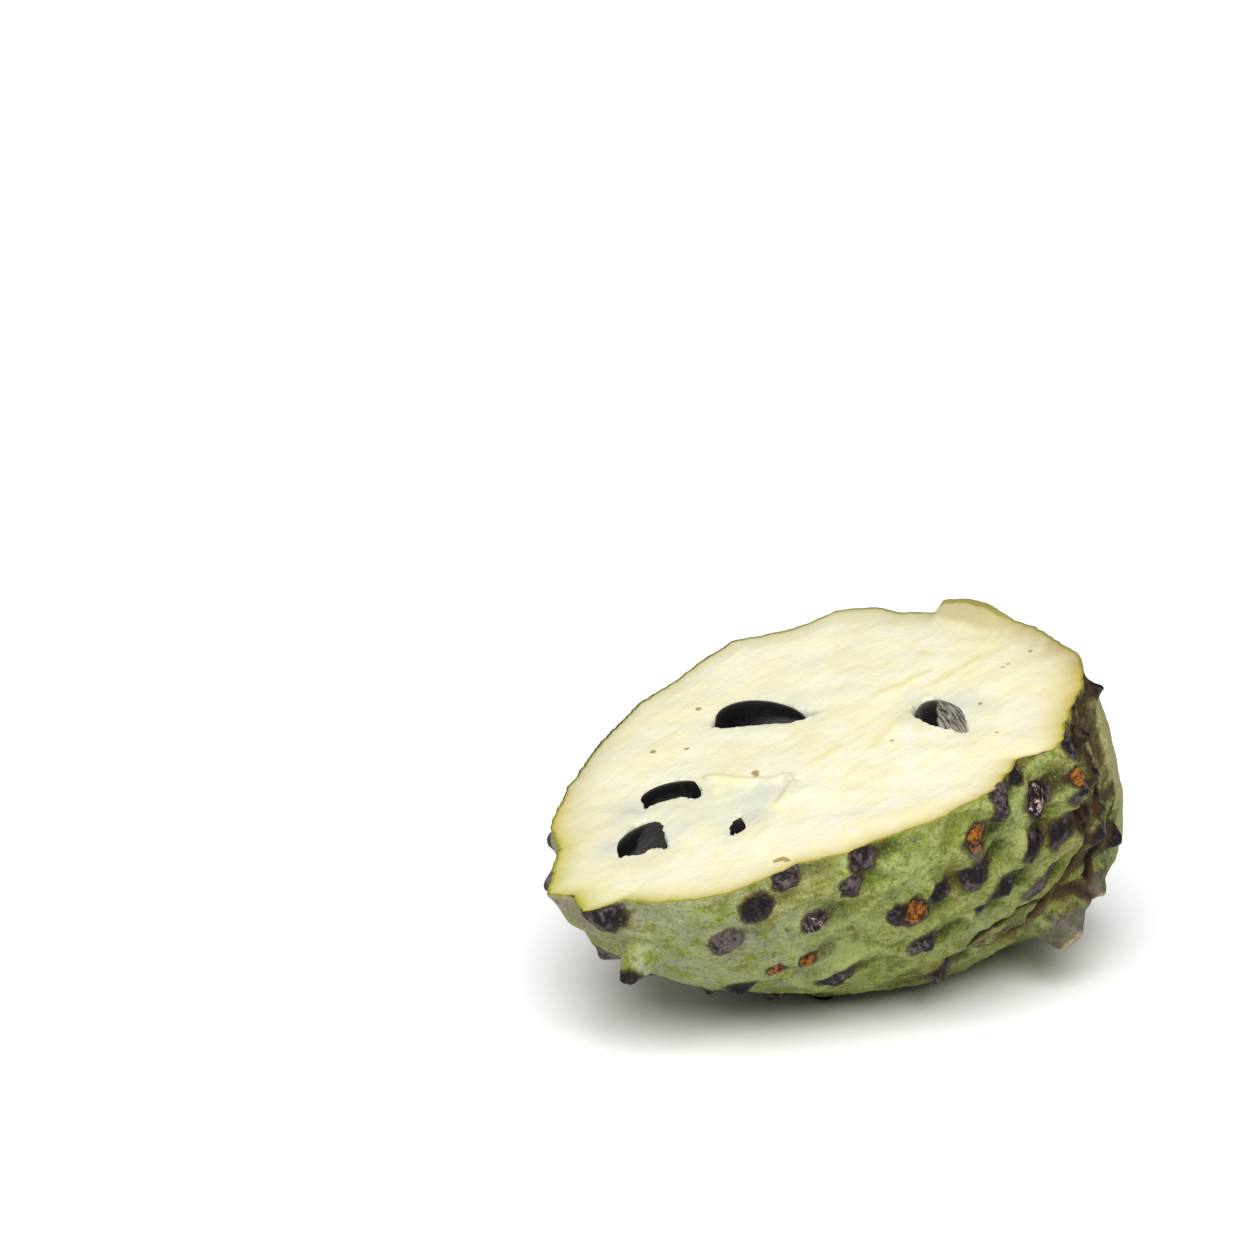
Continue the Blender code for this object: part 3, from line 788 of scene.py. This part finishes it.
# Painted bluish shade where a seed lies under thin flesh: place and radii on the face,
# strength
SHADES = (
    (-30.5, 12.5, 5.0, 3.5, 0.9), (-41.0, 6.5, 3.5, 3.5, 0.9), (-14.0, -6.0, 5.0, 4.0, 0.7),
    (-20.5, -8.5, 3.5, 3.5, 0.9), (25.0, -6.0, 4.0, 3.0, 0.6), (27.0, -16.0, 4.0, 6.0, 0.7),
    (12.5, 14.0, 3.0, 5.0, 0.6), (-27.5, 3.0, 4.0, 4.0, 0.4), (18.5, -11.0, 2.5, 4.0, 0.5),
)

# Brown dots in the flesh: place and size on the face
DOTS = (
    (-13.4, 25.6, 0.8), (-9.6, 20.5, 0.6), (2.2, 29.9, 0.7), (-9.7, 1.5, 0.9),
    (-10.3, 0.5, 0.7), (28.4, -18.6, 0.5), (21.7, -29.0, 0.5), (11.0, -12.9, 0.5),
    (40.7, -13.0, 0.5), (42.4, -13.0, 0.5), (48.5, -13.1, 0.6),
)

# Olive mark at the near edge
EDGE_MARK = ((-29.2, -23.8), (-28.2, -24.4), (-27.8, -25.6))
MARK_WIDTH = 0.6 * mm

# Yellow core: its line and width in mm, where it begins, and the start and end of threads
CORE_PLACE = -7
CORE_SLOPE = 0.06
CORE_WIDTH = 5.5
CORE_FADE = (-14 * mm, 4 * mm)
THREADS = (
    ((0.2, -6.1), (4.6, -5.8)), ((38.9, 7.4), (38.7, 3.0)), ((8.0, -11.0), (20.0, -8.0)),
    ((22.0, 2.0), (34.0, -1.0)), ((30.0, -5.0), (47.0, -7.0)),
)
THREAD_WIDTH = 0.9 * mm

# Torn curl of flesh between the seeds of the tip
CURL = ((-15.2, 8.3), (-12.6, 0.4), (-10.0, -4.0), (-8.1, -4.7), (-9.5, -8.0),
        (-12.6, -10.0), (-14.6, -10.6))
CURL_HEIGHT = 0.7 * mm
CURL_WIDTH = 1.0 * mm

# Wetter, greyer flesh round the seeds of the tip: centre, radii and heading in degrees
WET_PATCH = ((-20.0, -1.0), (14.0, 9.0), -20)

# How far the rim's yellow runs inward, by the turn round the face from the stem
RIM_TURNS = (-180, -165, -150, -120, -60, -35, 0, 20, 60, 120, 150, 165, 180)
RIM_WIDTHS = (4.0, 3.4, 2.8, 2.3, 2.3, 4.6, 5.5, 3.4, 1.9, 2.0, 3.0, 3.8, 4.0)

# Where the edge's colour changes: across and along the face, and the turn and spread of
# the torn brown end beside the stem
FAR_FADE = (-4 * mm, 12 * mm)
FAR_TIP_FADE = (-42 * mm, -24 * mm)
STEM_EDGE_FADE = (44 * mm, 52 * mm)
TIP_EDGE_FADE = (34 * mm, 50 * mm)
TORN_TURN = -14
TORN_SPREAD = 16
TORN_REACH = 2.2 * mm

# Brown nubs that the knife sliced at the rim: place and size on the face
SLICED = ((8.5, -41.8, 1.3), (17.0, -39.5, 1.2), (20.0, -41.8, 1.4), (-56.0, 0.2, 1.3))


def rounded(corners, samples=8):
    """Closed smooth curve through the corners."""
    knots = np.array(corners, dtype=float) * mm
    curve = []
    for index in range(len(knots)):
        before, here, after, beyond = (knots[(index + k) % len(knots)] for k in (-1, 0, 1, 2))
        for step in range(samples):
            t = step / samples
            curve.append(0.5 * (2 * here + (after - before) * t
                                + (2 * before - 5 * here + 4 * after - beyond) * t ** 2
                                + (3 * here - before - 3 * after + beyond) * t ** 3))
    return np.array(curve)


def inside_gap(points, outline):
    """Distance of each point inside the outline from it, negative outside."""
    corners = np.vstack((outline, outline[:1]))
    gap = gap_to_line(points, corners)
    inside = np.zeros(len(points), dtype=bool)
    for (x0, y0), (x1, y1) in zip(corners[:-1], corners[1:]):
        if y0 == y1:
            continue
        crosses = (y0 > points[:, 1]) != (y1 > points[:, 1])
        at = x0 + (points[:, 1] - y0) / (y1 - y0) * (x1 - x0)
        inside ^= crosses & (points[:, 0] < at)
    return np.where(inside, gap, -gap)


def skin_edge(turns):
    """Points of the skin's cut edge in the directions at the given turns."""
    ring = np.linspace(-np.pi, np.pi, EDGE_SAMPLES)
    directions = np.stack((np.cos(ring), np.sin(ring), 0 * ring), axis=-1)
    alpha, psi = angles_of(directions)
    plain = plain_skin(alpha, psi)
    shift, _ = skin_relief(plain, alpha, psi, tubercles)
    edge = (plain + shift) * (1, 1, 0)
    edge[:, 0] -= SCAR_DEPTH * scar_share(edge)
    x, y = (np.interp(turns, ring, edge[:, axis]) for axis in (0, 1))
    return np.stack((x, y, 0 * x), axis=-1)


def spots_share(points, spots):
    """Share of round spots, each given by its place and size on the face in mm."""
    share = np.zeros(len(points))
    for x, y, size in spots:
        gap = np.hypot(points[:, 0] / mm - x, points[:, 1] / mm - y)
        share = np.maximum(share, np.exp(-(gap / size) ** 2))
    return share


def oval_share(points, centre, radii, heading):
    """Share of an even oval patch of the face whose long radius points at the heading."""
    turn = np.radians(heading)
    x = points[:, 0] / mm - centre[0]
    y = points[:, 1] / mm - centre[1]
    along = x * np.cos(turn) + y * np.sin(turn)
    across = y * np.cos(turn) - x * np.sin(turn)
    return np.exp(-(along / radii[0]) ** 4 - (across / radii[1]) ** 4)


flesh = sphere_half("flesh", above=True)
directions, share, on_face, on_rim = parts_of(flesh)
edge_points = skin_edge(np.arctan2(directions[:, 1], directions[:, 0]))
inward = 1 - np.degrees(np.arcsin(np.clip(directions[:, 2], 0, 1))) / 90
inward[on_rim] = 1
face = edge_points * inward[:, None]
from_rim = np.linalg.norm(edge_points, axis=1) * (1 - inward)
swell = waves((face, FACE_SWELL), (face, FACE_BUMPS), (face * FIBRE_STRETCH, FACE_FIBRES))
swell *= 1 - np.exp(-(from_rim / FACE_CALM) ** 2)
swell -= RIM_DIP * np.exp(-((from_rim - RIM_DIP_AT) / RIM_DIP_AT) ** 2)
swell[on_rim] = 0
torn = face[:, :2] + drift(face, *TORN_WAVER)[:, :2]
pocket = np.full(len(face), -1.0)
for corners in POCKETS:
    pocket = np.maximum(pocket, inside_gap(torn, rounded(corners)))
sink = rise_over(pocket, *POCKET_WALL)
lip = np.exp(np.minimum(pocket, 0) / LIP_REACH)
flakes = np.exp(-((pocket + FLAKES_GAP) / FLAKES_WIDTH) ** 2)
swell += flakes * np.maximum(grain(face, FLAKES_SIZE, 2, 14), 0) * FLAKES_HEIGHT
curl = line_share(torn, np.array(CURL) * mm, CURL_WIDTH)
flap = lobe_rise(face[:, 0], face[:, 1])
face[:, 2] = swell - POCKET_DEPTH * sink - LIP_DROP * lip + curl * CURL_HEIGHT + flap
# Painted shade darkens the flesh just round each pocket, and over the listed seeds
shade = 0.6 * np.exp(np.minimum(pocket, 0) / SHADE_REACH)
for x, y, length, width, strength in SHADES:
    spread = ((face[:, 0] / mm - x) / length) ** 2 + ((face[:, 1] / mm - y) / width) ** 2
    shade = np.maximum(shade, strength * np.exp(-spread))
mark = line_share(torn, np.array(EDGE_MARK) * mm, MARK_WIDTH)
threads = curl * 0.7
for ends in THREADS:
    threads = np.maximum(threads, line_share(torn, np.array(ends) * mm, THREAD_WIDTH))
core_gap = face[:, 1] / mm - CORE_PLACE - CORE_SLOPE * face[:, 0] / mm
turn = np.degrees(np.arctan2(face[:, 1], face[:, 0]))
rim_width = np.interp(turn, RIM_TURNS, RIM_WIDTHS) * mm
far = rise_over(face[:, 1], *FAR_FADE)
far_edge = np.maximum(far * rise_over(face[:, 0], *FAR_TIP_FADE),
                      rise_over(face[:, 0], *STEM_EDGE_FADE) * 0.8)
torn_end = np.exp(-from_rim / TORN_REACH) * np.exp(-((turn - TORN_TURN) / TORN_SPREAD) ** 2)
paint(flesh, {
    "along": face[:, 0],
    "across": face[:, 1],
    "from_rim": from_rim / mm,
    "green": np.exp(-from_rim / rim_width),
    "far": far,
    "far_edge": far_edge,
    "tip_edge": rise_over(-face[:, 0], *TIP_EDGE_FADE),
    "torn": torn_end,
    "sliced": spots_share(torn, SLICED),
    "flap": flap / LOBE_HEIGHT,
    "core": np.exp(-(core_gap / CORE_WIDTH) ** 2) * rise_over(face[:, 0], *CORE_FADE),
    "threads": threads,
    "dots": np.maximum(mark, spots_share(torn, DOTS)),
    "wet": oval_share(face, *WET_PATCH),
    "shade": shade,
    "pit_shade": sink,
})

# The bowl hangs inside the skin, so it draws in where the rim does
bowl = plain_skin(*angles_of(directions)) * share[:, None]
plain_rim = plain_skin(*angles_of(unit(directions * (1, 1, 0))))
dented = np.linalg.norm(edge_points, axis=1) / np.linalg.norm(plain_rim, axis=1)
bowl[:, :2] *= np.minimum(dented, 1)[:, None]
set_points(flesh, into_world(np.where(on_face[:, None], face, bowl)))

CREAM = (0.700, 0.660, 0.430, 1)
MILK = (0.725, 0.705, 0.550, 1)
DULL_CREAM = (0.615, 0.585, 0.405, 1)
BUTTER = (0.610, 0.545, 0.270, 1)
WET_GREY = (0.570, 0.575, 0.430, 1)
EDGE_WARM = (0.480, 0.370, 0.055, 1)
EDGE_OLIVE = (0.400, 0.360, 0.025, 1)
EDGE_TAN = (0.410, 0.370, 0.200, 1)
POCKET_SHADE_GREY = (0.430, 0.450, 0.420, 1)
FLAP_SHADE_TAN = (0.450, 0.395, 0.205, 1)
TORN_BROWN = (0.330, 0.225, 0.085, 1)
DOT_BROWN = (0.260, 0.190, 0.025, 1)
PIT_SHADE_BLACK = (0.004, 0.004, 0.004, 1)

pulp = Finish("flesh_finish")
grid = pulp.node("ShaderNodeCombineXYZ", None,
                 {"X": pulp.mask("along") * 0.16, "Y": pulp.mask("across")})
cloud = pulp.noise(11 * mm, 3, 0.55)
veil = pulp.noise(4.5 * mm, 3, 0.5, warp=0.5)
streak = pulp.noise(1.6 * mm, 4, 0.6, grid, 0.3)
fleck = pulp.noise(0.9 * mm, 3, 0.6)

# Ground of the flesh, its wet patch, fibres, and painted shade round the seeds and on the
# flap
colour = pulp.mix(pulp.step(cloud * 0.6 + veil * 0.4, 0.40, 0.62), CREAM, MILK)
colour = pulp.mix(pulp.mask("far") * 0.35 + pulp.step(veil, 0.50, 0.72) * 0.18, colour,
                  DULL_CREAM)
colour = pulp.mix(pulp.mask("wet") * pulp.step(veil, 0.35, 0.60) * 0.7, colour, WET_GREY)
fibre = pulp.step(streak, 0.44, 0.66) * (0.04 + pulp.mask("core") * 0.40)
colour = pulp.mix(fibre, colour, BUTTER)
colour = pulp.mix(pulp.mask("threads") * 0.6, colour, BUTTER)
# Bluish grey painted shade round the pockets and over the seeds
colour = pulp.mix(pulp.mask("shade") * 0.7, colour, POCKET_SHADE_GREY)
# Darker tan on the flap's flesh is painted shade
colour = pulp.mix(pulp.step(pulp.mask("flap") + (veil - 0.5) * 0.5, 0.10, 0.5) * 0.85, colour,
                  FLAP_SHADE_TAN)

# Edge of the flesh, brown dots and the near-black painted shade in the pockets
edge_tone = pulp.mix(pulp.mask("far_edge"), EDGE_WARM, EDGE_TAN)
edge_tone = pulp.mix(pulp.mask("tip_edge"), edge_tone, EDGE_OLIVE)
edge_share = pulp.mask("green") * (0.80 + veil * 0.6)
colour = pulp.mix(edge_share, colour, edge_tone)
colour = pulp.mix(pulp.mask("torn") * pulp.step(veil, 0.30, 0.60), colour, TORN_BROWN)
green_reach = pulp.mask("from_rim") + (veil - 0.5) * 1.2 - pulp.mask("flap") * 0.9
colour = pulp.mix(pulp.step(green_reach, 0.9, 0.1) * 0.85, colour, RIM_GREEN)
colour = pulp.mix(pulp.step(pulp.mask("dots"), 0.35, 0.7) * 0.85, colour, DOT_BROWN)
colour = pulp.mix(pulp.step(pulp.mask("sliced") + (fleck - 0.5) * 0.5, 0.25, 0.7), colour,
                  PLUM)
# The sunk walls of the pockets are painted black as shade
colour = pulp.mix(pulp.step(pulp.mask("pit_shade"), 0.15, 0.6), colour, PIT_SHADE_BLACK)
pulp.shade(base_color=colour, roughness=0.36 + cloud * 0.15,
           normal=pulp.bump(streak * 0.4 + fleck * 0.6, 0.2 * mm, 0.5))
pulp.shader.inputs["Subsurface Weight"].default_value = 0.25
pulp.shader.inputs["Subsurface Radius"].default_value = (0.002, 0.0015, 0.0008)
flesh.data.materials.append(pulp.material)
flesh.data.shade_smooth()
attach(flesh, "root")
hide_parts("fruit_half")

# Five seeds.
# Each is a hard, flattened, almost black bean with a glossy coat, narrow at the end that
# points to the core. Two still wear part of the grey film that lined their pocket.
# Name, place on the face, height of the top over it, length, width and thickness in mm,
# heading and lean in degrees, and the line where the film ends
SEEDS = (
    ("seed_middle", (7.0, 18.5), 1.2, 19.0, 9.8, 6.8, -65, 12, None),
    ("seed_near_stem", (22.6, -14.0), 1.0, 17.0, 9.2, 6.6, 66, -10,
     ((26.9, -9.6), (20.5, -15.6))),
    ("seed_tip_upper", (-21.4, 11.4), 0.7, 15.0, 8.6, 6.2, -26, 8, None),
    ("seed_tip_lower", (-34.8, 4.2), 0.7, 15.5, 9.6, 6.8, 12, 6,
     ((-30.3, 7.2), (-38.6, 1.7))),
    ("seed_sliver", (-23.6, -8.4), -0.3, 15.0, 8.5, 6.0, 60, 0, None),
)
SEED_TAPER = 0.16
NO_FILM = -9.0
FILM_LIGHT = {"seed_near_stem": 1.0, "seed_tip_lower": 0.05}
SEED_BLACK = (0.0015, 0.0013, 0.0015, 1)
SEED_BROWN = (0.006, 0.004, 0.003, 1)
FILM_GREY = (0.018, 0.017, 0.016, 1)
FILM_PALE = (0.290, 0.270, 0.210, 1)
coat = Finish("seed_finish")
coat_noise = coat.noise(1.5 * mm, 3, 0.6)
seed_lines = coat.node("ShaderNodeCombineXYZ", None,
                       {"X": coat.mask("lengthwise") * 0.12, "Y": coat.mask("crosswise")})
hair = coat.noise(0.4 * mm, 3, 0.6, seed_lines)
colour = coat.mix(coat.step(coat_noise, 0.45, 0.7), SEED_BLACK, SEED_BROWN)
film = coat.step(coat.mask("film") + (coat_noise - 0.5) * 0.8, -0.3, 0.3)
film_tone = coat.mix(coat.step(hair, 0.36, 0.64) * coat.mask("film_light"), FILM_GREY,
                     FILM_PALE)
colour = coat.mix(film, colour, film_tone)
coat.shade(base_color=colour, roughness=0.22 + coat_noise * 0.20 + film * 0.2,
           normal=coat.bump(hair, 0.12 * mm, 0.6))
coat.shader.inputs["Specular IOR Level"].default_value = 0.12
for name, (x, y), top, length, width, thickness, heading, lean, film_line in SEEDS:
    bpy.ops.object.select_all(action="DESELECT")
    bpy.ops.mesh.primitive_uv_sphere_add(segments=64, ring_count=48, radius=1,
                                         rotation=(0, np.pi / 2, 0))
    seed = bpy.context.active_object
    seed.name = name + "_coat"
    bpy.ops.object.transform_apply(location=False, rotation=True, scale=False)
    bean = points_of(seed)
    narrow = 1 - SEED_TAPER * bean[:, :1]
    bean = bean * np.hstack((np.ones_like(narrow), narrow, narrow))
    bean *= np.array((length, width, thickness)) / 2 * mm
    paint(seed, {"lengthwise": bean[:, 0], "crosswise": bean[:, 1]})
    turn = Matrix.Rotation(np.radians(heading), 3, "Z")
    turn = np.array(turn @ Matrix.Rotation(np.radians(lean), 3, "X"))
    bean = bean @ turn.T
    bean += (x * mm, y * mm, top * mm - bean[:, 2].max())
    set_points(seed, into_world(bean))
    film = np.full(len(bean), NO_FILM)
    if film_line:
        start, end = (np.array(corner) for corner in film_line)
        side = np.array((start[1] - end[1], end[0] - start[0]))
        film = (bean[:, :2] / mm - start) @ side / np.linalg.norm(side)
    paint(seed, {"film": film, "film_light": np.full(len(bean), FILM_LIGHT.get(name, 0.0))})
    seed.data.materials.append(coat.material)
    seed.data.shade_smooth()
    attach(seed, "root")
    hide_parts(name)

# Floor, light and camera.
# A plain pale floor under one broad soft sun and an even white sky, seen at the
# photograph's angle: from the near side of the tip, a little above.
FLOOR_SIZE = 16.0
FLOOR_WHITE = (0.90, 0.90, 0.90, 1)
SUN_FROM = (-0.56, -0.52, 1.0)
SUN_SPREAD = 48
SUN_STRENGTH = 4.3
SKY_STRENGTH = 0.25
bpy.ops.object.select_all(action="DESELECT")
bpy.ops.mesh.primitive_plane_add(size=FLOOR_SIZE)
floor = bpy.context.active_object
floor.name = "floor"
floor_finish = Finish("floor_white")
floor_finish.shade(base_color=FLOOR_WHITE, roughness=0.8)
floor.data.materials.append(floor_finish.material)

sun = bpy.data.lights.new("key_light", "SUN")
sun.angle = np.radians(SUN_SPREAD)
sun.energy = SUN_STRENGTH
lamp = bpy.data.objects.new("key_light", sun)
bpy.context.collection.objects.link(lamp)
lamp.rotation_euler = Vector(SUN_FROM).to_track_quat("Z", "Y").to_euler()
world_light = bpy.data.worlds.new("studio")
bpy.context.scene.world = world_light
world_light.use_nodes = True
backdrop = world_light.node_tree.nodes["Background"]
backdrop.inputs["Color"].default_value = (1, 1, 1, 1)
backdrop.inputs["Strength"].default_value = SKY_STRENGTH

CAMERA_PLACE = (-0.36333, -0.37219, 0.20650)
CAMERA_PITCH = 75.05
CAMERA_TURN = -40.31
FOCAL_LENGTH = 85.0
SENSOR_WIDTH = 36.0
lens = bpy.data.cameras.new("camera")
lens.lens = FOCAL_LENGTH
lens.sensor_width = SENSOR_WIDTH
lens.clip_start = 0.01
camera = bpy.data.objects.new("camera", lens)
bpy.context.collection.objects.link(camera)
camera.location = CAMERA_PLACE
camera.rotation_euler = (np.radians(CAMERA_PITCH), 0, np.radians(CAMERA_TURN))
bpy.context.scene.camera = camera
bpy.context.scene.view_settings.view_transform = "Standard"
